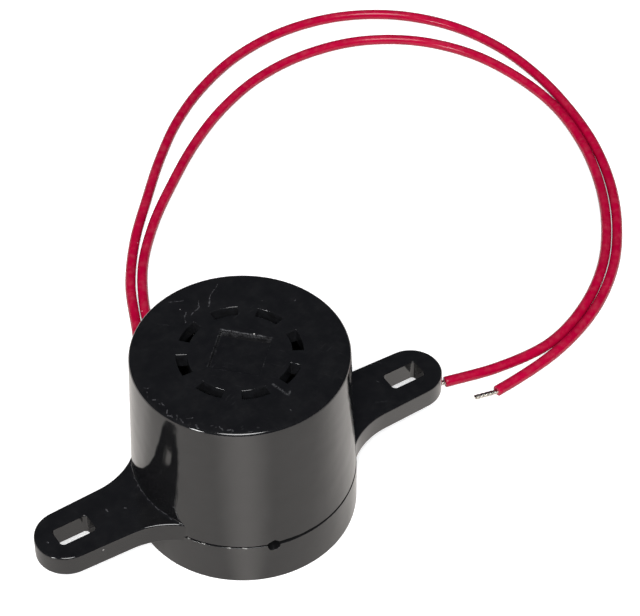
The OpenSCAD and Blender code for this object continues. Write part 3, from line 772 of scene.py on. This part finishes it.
# Half outline of an ear from tip to wall, with the direction that points out of it
def earOutline(s, rimR):
    t = math.radians(s["taper"])
    out = np.array([math.sin(t), math.cos(t)])
    along = np.array([-math.cos(t), math.sin(t)])
    tipR = (s["width"] / 2 - s["over"] * math.tan(t)) * math.cos(t) / (1 - math.sin(t))
    tip = np.array([s["centre"] + s["over"] - tipR, 0.0])
    sideA = tip + tipR * out
    flareA = sideA + s["flareR"] * out
    dot = float(flareA @ along)
    run = -dot - math.sqrt(dot * dot - float(flareA @ flareA) + (rimR + s["flareR"] - s["bite"]) ** 2)
    flare = flareA + run * along
    phi = np.radians(np.linspace(0, 90 - s["taper"], 28))
    tipOut = np.stack([np.cos(phi), np.sin(phi)], -1)
    share = np.linspace(0, 1, 8)[1:-1, None]
    sidePoints = sideA + share * (flare - s["flareR"] * out - sideA)
    psi = np.linspace(math.atan2(-out[1], -out[0]), math.atan2(-flare[1], -flare[0]), 44)
    flareOut = -np.stack([np.cos(psi), np.sin(psi)], -1)
    flarePoints = flare - s["flareR"] * flareOut
    points = np.concatenate([tip + tipR * tipOut, sidePoints, flarePoints, flarePoints[-1:] * 0.94])
    normals = np.concatenate([tipOut, np.broadcast_to(out, sidePoints.shape), flareOut, flareOut[-1:]])
    return points, normals


# Both halves: the half outline and its mirror image over the ear's axis
def wholeOutline(half):
    return np.concatenate([(half * np.array([1.0, -1.0]))[:0:-1], half])


# Rounded rectangle grown by a distance, as its radius at each direction from the centre
def slotRadius(s, grow, phi):
    long, wide, corner = s["slot"]
    arc = quarter(12)
    pieces = []
    for sx, sy, first in ((1, 1, 0.0), (-1, 1, np.pi / 2), (-1, -1, np.pi), (1, -1, 1.5 * np.pi)):
        x = sx * (long - corner) + (corner + grow) * np.cos(first + arc)
        y = sy * (wide - corner) + (corner + grow) * np.sin(first + arc)
        pieces.append(np.stack([x, y], -1))
    loop = np.concatenate(pieces)
    loop = np.concatenate([loop, loop[:1]])
    share = np.linspace(0, 1, 24, endpoint=False)[None, :, None]
    dense = (loop[:-1, None, :] + share * np.diff(loop, axis=0)[:, None, :]).reshape(-1, 2)
    angle = np.arctan2(dense[:, 1], dense[:, 0])
    order = np.argsort(angle)
    return np.interp(phi, angle[order], np.hypot(dense[:, 0], dense[:, 1])[order], period=2 * np.pi)


# Ear: the outline carried round its lower and upper edge, closed by caps above and below
def ear(s, rimR, wallR):
    points, normals = earOutline(s, rimR)
    whole, out = wholeOutline(points), wholeOutline(normals)
    low, high = s["low"], s["low"] + s["thick"]
    steps = [(s["foot"] + 0.1, low)]
    steps += [(s["foot"] * (1 - math.sin(t)), low + s["foot"] * (1 - math.cos(t))) for t in quarter(5)]
    steps += [(0.0, low + s["foot"] + 0.04), (0.0, high - s["edge"] - 0.04)]
    steps += [(s["edge"] * (1 - math.cos(t)), high - s["edge"] * (1 - math.sin(t))) for t in quarter(10)]
    steps += [(s["edge"] + 0.1, high)]
    rim = [np.column_stack([whole - out * inset, np.full(len(whole), z)]) for inset, z in steps]
    sheets = [{"points": np.array(rim)}]
    inner = points - normals * (s["edge"] + 0.07)
    order = np.argsort(inner[:, 0])
    halfAt = np.interp(s["cutX"], inner[order, 0], inner[order, 1])
    # tip cap: rings between the slot and the outline, over the top, down the slot and back underneath
    front = np.vstack([inner[inner[:, 0] > s["cutX"]], [s["cutX"], halfAt]]) - (s["centre"], 0.0)
    angle, reach = np.arctan2(front[:, 1], front[:, 0]), np.hypot(front[:, 0], front[:, 1])
    long, wide, bend = s["slot"]
    corner = math.atan2(wide - bend, long), math.atan2(wide, long - bend)
    fine = np.linspace(corner[0] - 0.05, corner[1] + 0.05, 24)
    even = np.linspace(-np.pi, np.pi, 120, endpoint=False)
    corners = [fine, -fine, np.pi - fine, fine - np.pi]
    phi = np.unique(np.round(np.concatenate([even, *corners, [-angle[-1], angle[-1]]]), 5))
    outer = np.where(
        np.abs(phi) <= angle[-1],
        np.interp(np.abs(phi), angle, reach),
        (s["cutX"] - s["centre"]) / np.minimum(np.cos(phi), -1e-3),
    )
    e = s["slotEdge"]
    first, second = slotRadius(s, e + 0.5, phi), slotRadius(s, e + 0.06, phi)
    rings = [(outer, high - 0.002), (np.minimum(first, outer * 0.98), high), (second, high)]
    rings += [(slotRadius(s, e * (1 - math.sin(t)), phi), high - e * (1 - math.cos(t))) for t in quarter(6)]
    rings += [(slotRadius(s, 0, phi), high - e - 0.04), (slotRadius(s, 0, phi), low + e + 0.04)]
    rings += [(slotRadius(s, e * (1 - math.cos(t)), phi), low + e * (1 - math.sin(t))) for t in quarter(6)]
    rings += [(second, low), (outer, low + 0.002)]
    cap = [
        np.stack([s["centre"] + r * np.cos(phi), r * np.sin(phi), np.full(len(phi), z)], -1) for r, z in rings
    ]
    sheets.append({"points": np.array(cap), "wrap": True})
    # root cap: strips across the arm from the cap back into the wall
    x = np.linspace(s["rootX"], s["cutX"], 40)
    half = np.interp(x, inner[order, 0], inner[order, 1])
    across = np.linspace(-1, 1, 13)
    for z in (high - 0.002, low + 0.002):
        strip = np.broadcast_arrays(x[:, None], half[:, None] * across, z)
        sheets.append({"points": np.stack(strip, -1)})
    # fillet: hollow quarter circle swept round the wall where the ear's top meets it
    turn = np.linspace(-1, 1, 60) * s["filletTurn"]
    size = s["fillet"] * np.sqrt(np.clip((s["filletTurn"] - np.abs(turn)) / s["filletFade"], 0, 1))
    hollow = [(wallR + size * (1 - math.cos(t)), high + size * (1 - math.sin(t))) for t in quarter(8)]
    hollow = [(wallR - 0.05, high + size)] + hollow + [(wallR + size + 0.05, high - 0.001)]
    spread = np.radians(turn)
    fillet = [np.stack([r * np.cos(spread), r * np.sin(spread), z + 0 * spread], -1) for r, z in hollow]
    sheets.append({"points": np.array(fillet)})
    return sheets


# Plastic: black and glossy, with the wear that the photo shows
plasticSet = {
    "color": (0.0065, 0.0065, 0.007),
    "second": (0.0085, 0.0085, 0.009),
    "cutColor": (0.15, 0.15, 0.158),
    "dustColor": (0.45, 0.44, 0.425),
    "chipColor": (0.75, 0.73, 0.7),
    "shine": 1.0,
    "rough": 0.07,
    "smear": 0.04,
    "turn": 0.9,
    "fineness": 5.0,
    "scratch": 0.12,
    "cells": 0.42,
    "speck": 0.22,
    "share": 0.22,
    "film": 0.007,
    "edge": 0.25,
    "edgeWear": 0.1,
    "wave": 0.05,
    "grain": 0.0025,
}

coverSet = dict(plasticSet, color=(0.009, 0.009, 0.0095), rough=0.09, turn=0.2, scratch=0.2)

# Paler grey on the walls of the sound slots, patchy
slotWallTone = {
    "middle": (housingSet["slotIn"] + housingSet["slotOut"]) / 2,
    "half": 0.6,
    "level": housingSet["high"],
    "deep": 1.75,
    "color": (0.012, 0.0125, 0.0143),
}

# Marks of the housing: two ends, width and strength of each; the marks on the recess's edges and walls are
# painted highlights and reflection
topMarks = [
    ((-2.63, 6.48), (-1.73, 7.71), 0.1, 0.55),
    ((-1.52, 7.16), (-0.29, 7.66), 0.11, 0.5),
    ((-0.29, 7.66), (0.27, 8.5), 0.1, 0.55),
    ((0.65, 7.22), (1.38, 8.28), 0.1, 0.6),
    ((1.38, 8.28), (3.06, 9.52), 0.07, 0.4),
    ((-2.49, 9.94), (-1.17, 9.28), 0.1, 0.45),
    ((-4.95, 7.81), (-3.74, 6.81), 0.07, 0.22),
    ((0.49, -5.53), (1.02, -7.53), 0.2, 0.4),
    ((1.02, -7.53), (1.47, -7.19), 0.15, 0.35),
    ((3.75, 0), (0, 3.75), 0.17, 0.5),  # painted highlights on the edges of the recess
    ((0, 3.75), (-3.75, 0), 0.1, 0.35),
    ((-3.75, 0), (0, -3.75), 0.1, 0.32),
    ((0, -3.75), (3.75, 0), 0.1, 0.4),
    ((3.6, 0, -0.25), (0, 3.6, -0.25), 0.32, 0.3),  # painted reflection on its walls
    ((0, 3.6, -0.25), (-3.6, 0, -0.25), 0.3, 0.25),
    ((8.44, 3.17), (8.5, 3.28), 0.1, 0.6),
    ((5.57, 5.06), (5.68, 5.06), 0.1, 0.5),
    ((0.12, -9.3), (0.18, -9.41), 0.1, 0.6),
]
earMarks = [
    ((-23.07, -0.04), (-23.0, -0.09), 0.12, 0.9),
    ((-24.11, -1.24), (-24.0, -1.31), 0.1, 0.8),
    ((-15.93, 0.32), (-15.92, 0.59), 0.12, 0.9),
    ((-14.27, -0.23), (-14.16, -0.3), 0.1, 0.7),
    ((-11.71, 1.64), (-11.6, 1.7), 0.12, 0.7),
    ((15.17, -1.73), (16.28, -2.17), 0.16, 0.12),
    ((17.19, 0.06), (16.98, 0.95), 0.06, 0.35),
]
wallMarks = [
    ((-9.5, -5.96, 19.65), (-9.3, -6.27, 19.45), 0.07, 0.35),
    ((-9.12, -6.53, 19.3), (-8.97, -6.74, 19.25), 0.07, 0.3),
    ((-7.45, -8.39, 19.25), (-7.05, -8.73, 19.35), 0.06, 0.3),
    ((-10.78, -4.26, 8.9), (-10.73, -4.36, 8.8), 0.1, 0.9),
    ((-10.67, -4.56, 8.45), (-10.63, -4.66, 8.3), 0.09, 0.8),
    ((-9.09, -7.06, 10.92), (-9.05, -7.12, 10.87), 0.08, 0.9),
]
# painted highlight: a pale line along the fillet in the corner of the left ear
cornerHighlight = {
    "from": -203.0,
    "to": -167.0,
    "count": 5,
    "span": 8.0,
    "r": 11.73,
    "up": 0.1,
    "mark": (0.08, 0.4),
}
rimScuffs = {
    "from": -186.0,
    "to": -112.0,
    "count": 26,
    "stray": 2.0,
    "r": (10.15, 10.9),
    "way": (0.4, 2.6),
    "length": (0.12, 0.6),
    "width": 0.1,
    "amount": (0.3, 0.75),
}
# bright burrs of moulding flash: degrees, degrees wide, height and strength
seamBurrs = [
    (-129.0, 2.4, 5.2, 0.6),
    (-120.6, 1.6, 5.2, 0.55),
    (-149.0, 2.4, 5.3, 0.9),
    (-145.2, 2.0, 5.4, 0.7),
    (-141.6, 1.6, 5.26, 0.7),
]
burrSet = {"r": 11.74, "width": 0.13}


# A mark's ends lie on the given level, or as far from it as their third number says
def onLevel(marks, level):
    lift = [[end[:2] + (level + sum(end[2:]),) for end in mark[:2]] for mark in marks]
    return [(a, b) + mark[2:] for (a, b), mark in zip(lift, marks)]


# Ends of a short mark that runs round the buzzer
def arcEnds(angle, span, r, z):
    turns = np.radians([angle, angle + span])
    return tuple((r * math.cos(t), r * math.sin(t), z) for t in turns)


# Marks of the housing, those on top and on the ears lifted to their level, the painted highlight in the ear's
# corner, and scuffs strewn beside the rim
def plasticMarks(topZ, earZ, line, scuff):
    marks = onLevel(topMarks, topZ) + onLevel(earMarks, earZ) + wallMarks
    for angle in np.linspace(line["from"], line["to"], line["count"]):
        marks.append(arcEnds(angle, line["span"], line["r"], earZ + line["up"]) + line["mark"])
    stray = rng.uniform(-scuff["stray"], scuff["stray"], scuff["count"])
    for angle in np.linspace(scuff["from"], scuff["to"], scuff["count"]) + stray:
        r = rng.uniform(*scuff["r"])
        turn = math.radians(angle)
        way = turn + rng.uniform(*scuff["way"])
        length = rng.uniform(*scuff["length"])
        x, y = r * math.cos(turn), r * math.sin(turn)
        end = (x + length * math.cos(way), y + length * math.sin(way), topZ)
        marks.append(((x, y, topZ), end, scuff["width"], float(rng.uniform(*scuff["amount"]))))
    return marks


seamChips = [
    arcEnds(angle - span / 2, span, burrSet["r"], z) + (burrSet["width"], amount)
    for angle, span, z, amount in seamBurrs
]
angles = roundAngles(housingSet)
earTop = earSet["low"] + earSet["thick"]
shellMarks = plasticMarks(housingSet["high"], earTop, cornerHighlight, rimScuffs)
shellMaterial = wornMaterial("shellPlastic", plasticSet, shellMarks, seamChips, slotWallTone)
lean = (housingSet["rimR"] - housingSet["topR"]) / (housingSet["high"] - housingSet["seam"])
earWallR = housingSet["rimR"] - lean * (earTop - housingSet["seam"])
housingSheets = roundSkin(housingSet, angles) + gateTunnels(housingSet)
for flip in (1.0, -1.0):
    for sheet in ear(earSet, housingSet["rimR"], earWallR):
        housingSheets.append(dict(sheet, points=sheet["points"] * np.array([flip, flip, 1.0])))
makePiece("housingShell", housingSheets, shellMaterial, ["housing"])
print("stage: housing")

# Cover: round cap below the seam, with the lower halves of the gates
capSet = {"radius": 11.75, "foot": 0.2, "edge": 0.06, "deep": 2.3}


# Cover's skin: rows of radius and height turned about Z, from the middle below to the wavy seam
def coverSkin(s, h, angles):
    top = gateWave(h, angles, -1)
    one = np.ones(len(angles))
    rows = [(r * one, 0.0 * one) for r in (0.0, 5.0, 10.0, s["radius"] - s["foot"] - 0.08)]
    for t in quarter(6):
        r = s["radius"] - s["foot"] * (1 - math.sin(t))
        rows.append((r * one, s["foot"] * (1 - math.cos(t)) * one))
    for share in (0.01, 0.05, 0.35, 0.65, 0.95, 0.99):
        rows.append((s["radius"] * one, s["foot"] + (top - s["edge"] - s["foot"]) * share))
    for t in quarter(6):
        r = s["radius"] - s["edge"] * (1 - math.cos(t))
        rows.append((r * one, top - s["edge"] * (1 - math.sin(t))))
    rows += [((s["radius"] - s["edge"] - 0.06) * one, top), ((s["radius"] - s["deep"]) * one, top)]
    radius = np.array([row[0] for row in rows])
    height = np.array([row[1] for row in rows])
    turn = np.radians(angles)[None, :]
    return [{"points": np.stack([radius * np.cos(turn), radius * np.sin(turn), height], -1), "wrap": True}]


coverMaterial = wornMaterial("coverPlastic", coverSet, (), seamChips)
makePiece("coverCap", coverSkin(capSet, housingSet, angles), coverMaterial, ["base_cover"])
print("stage: cover")

# Inner parts keep their CAD shape and take a worn finish each
innerBase = {
    "dustColor": (0.3, 0.28, 0.25),
    "rough": 0.35,
    "smear": 0.15,
    "turn": 0.5,
    "fineness": 6.0,
    "scratch": 0.4,
    "cells": 1.0,
    "speck": 0.1,
    "share": 0.3,
    "film": 0.08,
    "edge": 0.08,
    "edgeWear": 0.4,
    "wave": 0.02,
    "grain": 0.006,
}
# Finishes: ground, second and cut colour, and the one value that differs from the base
innerSets = {
    # the brass is painted a dark grey-brown, as painted shade for the sound chamber seen through the slots
    "brass_sheet": ((0.15, 0.13, 0.1), (0.11, 0.1, 0.08), (0.25, 0.2, 0.13), "metal", 1.0),
    "piezo_ceramic": ((0.66, 0.6, 0.45), (0.6, 0.53, 0.4), (0.8, 0.76, 0.65), "rough", 0.6),
    "silver_layer": ((0.6, 0.6, 0.6), (0.5, 0.49, 0.47), (0.8, 0.8, 0.8), "metal", 1.0),
    "silicone": ((0.55, 0.54, 0.5), (0.48, 0.47, 0.43), (0.65, 0.64, 0.6), "wave", 0.12),
    "laminate": ((0.26, 0.14, 0.05), (0.2, 0.1, 0.035), (0.4, 0.26, 0.12), "rough", 0.5),
    "copper": ((0.62, 0.26, 0.12), (0.5, 0.2, 0.1), (0.8, 0.5, 0.35), "metal", 1.0),
    "ferrite": ((0.03, 0.03, 0.032), (0.05, 0.05, 0.05), (0.15, 0.15, 0.15), "rough", 0.6),
    "magnet_wire": ((0.42, 0.12, 0.035), (0.32, 0.08, 0.02), (0.7, 0.35, 0.2), "metal", 0.7),
    "can_sleeve": ((0.012, 0.016, 0.08), (0.018, 0.022, 0.1), (0.1, 0.1, 0.2), "rough", 0.3),
    "bung_rubber": ((0.012, 0.012, 0.012), (0.02, 0.02, 0.02), (0.06, 0.06, 0.06), "rough", 0.7),
    "epoxy": ((0.01, 0.01, 0.01), (0.016, 0.016, 0.016), (0.08, 0.08, 0.08), "grain", 0.02),
    "tinned_leg": ((0.55, 0.55, 0.55), (0.45, 0.44, 0.42), (0.75, 0.75, 0.74), "metal", 1.0),
    "resistor_coat": ((0.5, 0.38, 0.2), (0.44, 0.33, 0.17), (0.6, 0.5, 0.33), "rough", 0.4),
    "diode_case": ((0.3, 0.08, 0.03), (0.24, 0.06, 0.02), (0.5, 0.25, 0.15), "rough", 0.2),
    "solder": ((0.56, 0.56, 0.57), (0.46, 0.46, 0.46), (0.75, 0.75, 0.75), "metal", 1.0),
}
innerSlots = {
    "diaphragm_plate": "brass_sheet",
    "piezo_ceramic": "piezo_ceramic",
    "main_electrode": "silver_layer",
    "feedback_electrode": "silver_layer",
    "bond_ring": "silicone",
    "circuit_board": "laminate",
    "copper_pads": "copper",
    "coil_core": "ferrite",
    "coil_winding": "magnet_wire",
    "capacitor_can": "can_sleeve",
    "capacitor_bung": "bung_rubber",
    "transistor_body": "epoxy",
    "transistor_legs": "tinned_leg",
    "resistor_bodies": "resistor_coat",
    "resistor_legs": "tinned_leg",
    "diode_bodies": "diode_case",
    "diode_legs": "tinned_leg",
    "disc_wires": "tinned_leg",
    "disc_solder": "solder",
    "board_solder": "solder",
    "lead_cores": "tinned_strand",
}
innerMaterials = {}
for name, (color, second, cutColor, other, value) in innerSets.items():
    values = dict(innerBase, color=color, second=second, cutColor=cutColor)
    values[other] = value
    innerMaterials[name] = wornMaterial("inner_" + name, values)
innerMaterials["tinned_strand"] = wornMaterial("inner_tinned_strand", strandSet)
for name, slotName in innerSlots.items():
    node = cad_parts[name]
    node.data.materials.clear()
    node.data.materials.append(innerMaterials[slotName])
print("stage: inner parts", len(innerSlots))

# Floor and light: white paper, two lamps on the viewer's side, a soft one behind, a low one at the left
lightSet = {
    "key": {"size": 0.5, "power": 4.4, "lift": 61.0, "turn": -120.0, "reach": 1.0},
    "fill": {"size": 0.34, "power": 10.0, "lift": 46.0, "turn": -122.0, "reach": 1.15},
    "sky": {"size": 1.2, "power": 2.4, "lift": 72.0, "turn": 58.0, "reach": 1.2},
    "window": {"size": 0.2, "power": 2.2, "lift": 22.0, "turn": -162.0, "reach": 1.0},
    "glossy": ("key", "window"),  # lamps that show in the gloss
    "room": (0.012, 0.015, 0.025),
    "half": 3.0,  # m, of the paper's side
    "low": -2e-5,
    "paper": 0.9,
    "bounce": 0.55,  # paper as the other pieces are lit by it
    "glow": (120.0, 400.0, 0.5, 1.0),  # mm from and to, and the paper's glow there towards the camera
    "mirrorLeft": (-5.0, 4.0, 0.77, 0.54),  # mm before the left ear, and the painted light on the paper in the gloss there
    "mirrorRight": (-4.0, 14.0, 0.88, 0.535),
    "mirrorTurn": (-6.0, 6.0),  # mm to the side where left goes over into right
    "mirrorFront": 0.92,
    "wedge": (9.0, 0.75),  # mm to the tip of the painted pale wedge of light at the front, and its slope
    "tint": (1.0, 0.955, 0.91),
    "front": -120.0,  # degrees round the buzzer to the viewer
}


# Stage: the paper, the lamps set round the origin by lift, turn and reach, and the room's own light
def makeStage(s):
    mesh = bpy.data.meshes.new("floor")
    corners = [(x * s["half"], y * s["half"], s["low"]) for x, y in ((-1, -1), (1, -1), (1, 1), (-1, 1))]
    mesh.from_pydata(corners, [], [(0, 1, 2, 3)])
    floor = bpy.data.objects.new("floor", mesh)
    scene.collection.objects.link(floor)
    material, tree, shader = newMaterial("floorPaper", {})
    # paper as the gloss shows it, with light and shade painted on: paler beside the ears and in a wedge at
    # the front
    position = useGroup(tree, place)["Position"]
    way = math.radians(s["front"])
    ahead = vectorCalc(tree, "DOT_PRODUCT", position, (math.cos(way), math.sin(way), 0.0))
    beside = vectorCalc(tree, "DOT_PRODUCT", position, (-math.sin(way), math.cos(way), 0.0))
    tip, slope = s["wedge"]
    slant = calc(tree, "DIVIDE", beside, calc(tree, "MAXIMUM", calc(tree, "SUBTRACT", ahead, tip), 0.5))
    wedge = ramp(tree, calc(tree, "ABSOLUTE", slant), 0.0, slope, 1.0, 0.0)
    left = ramp(tree, ahead, *s["mirrorLeft"])
    right = ramp(tree, ahead, *s["mirrorRight"])
    sides = ramp(tree, beside, *s["mirrorTurn"], left, right)
    front = calc(tree, "MULTIPLY", wedge, calc(tree, "SUBTRACT", s["mirrorFront"], sides))
    seen = calc(tree, "ADD", sides, front)
    ray = tree.nodes.new("ShaderNodeLightPath").outputs
    paper = mixColor(tree, ray["Is Camera Ray"], (s["bounce"],) * 3, (s["paper"],) * 3)
    warm = mixColor(tree, seen, (0.0, 0.0, 0.0), s["tint"])
    tree.links.new(mixColor(tree, ray["Is Glossy Ray"], paper, warm), shader.inputs["Base Color"])
    far = ramp(tree, vectorCalc(tree, "LENGTH", position), *s["glow"])
    glow = mixColor(tree, calc(tree, "MULTIPLY", ray["Is Camera Ray"], far), (0.0, 0.0, 0.0), (1.0, 1.0, 1.0))
    tree.links.new(glow, shader.inputs["Emission Color"])
    shader.inputs["Emission Strength"].default_value = 1.0
    material.cycles.emission_sampling = "NONE"
    shader.inputs["Roughness"].default_value = 0.9
    shader.inputs["Specular IOR Level"].default_value = 0.0
    mesh.materials.append(material)
    for name in ("key", "fill", "sky", "window"):
        lamp = s[name]
        data = bpy.data.lights.new(name + "Light", "AREA")
        data.shape = "DISK"
        data.size = lamp["size"]
        data.energy = lamp["power"]
        light = bpy.data.objects.new(name + "Light", data)
        light.visible_glossy = name in s["glossy"]
        lift, turn = math.radians(lamp["lift"]), math.radians(lamp["turn"])
        toward = Vector((math.cos(turn) * math.cos(lift), math.sin(turn) * math.cos(lift), math.sin(lift)))
        light.location = toward * lamp["reach"]
        light.rotation_euler = toward.to_track_quat("Z", "Y").to_euler()
        scene.collection.objects.link(light)
    world = bpy.data.worlds.new("room")
    world.use_nodes = True
    sky = world.node_tree
    seen = sky.nodes.new("ShaderNodeLightPath").outputs["Is Camera Ray"]
    sky.links.new(mixColor(sky, seen, s["room"], (1.0, 1.0, 1.0)), sky.nodes["Background"].inputs["Color"])
    scene.world = world


makeStage(lightSet)
scene.view_settings.view_transform = "Standard"
print("stage: floor and light")
